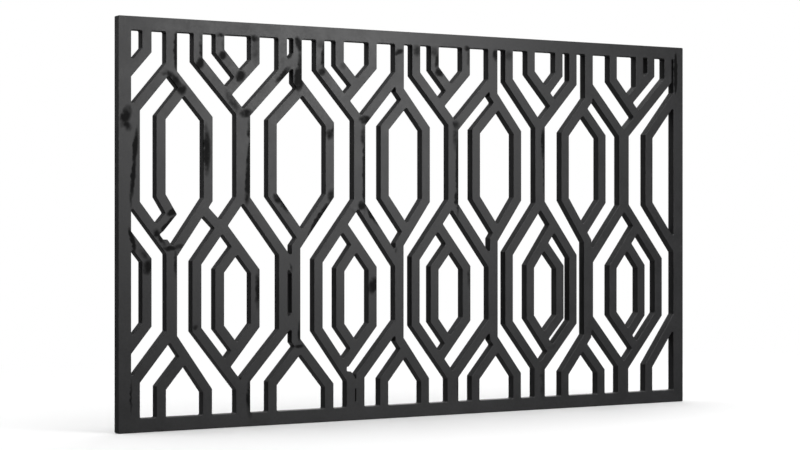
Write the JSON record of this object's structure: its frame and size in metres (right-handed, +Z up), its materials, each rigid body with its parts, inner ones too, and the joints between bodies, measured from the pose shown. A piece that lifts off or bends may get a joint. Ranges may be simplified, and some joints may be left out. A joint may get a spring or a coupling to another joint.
{
  "type": "decorative metal screen",
  "caption": "Flat rectangular screen of dark coated square tube: bars weave up and down round elongated hexagons inside a plain frame.",
  "frame": {"origin": "middle of the bottom edge, halfway through the depth, where the screen sits on its sill", "axes": "+X to the right as seen from the front, +Y from the front face to the back face, +Z up; the front faces -Y"},
  "size_m": [2.04, 0.03, 1.2],
  "materials": {
    "powder_coating": "charcoal satin powder coating on steel"
  },
  "bodies": {
    "root": {"lattice_screen": "powder_coating"}
  },
  "joints": []
}
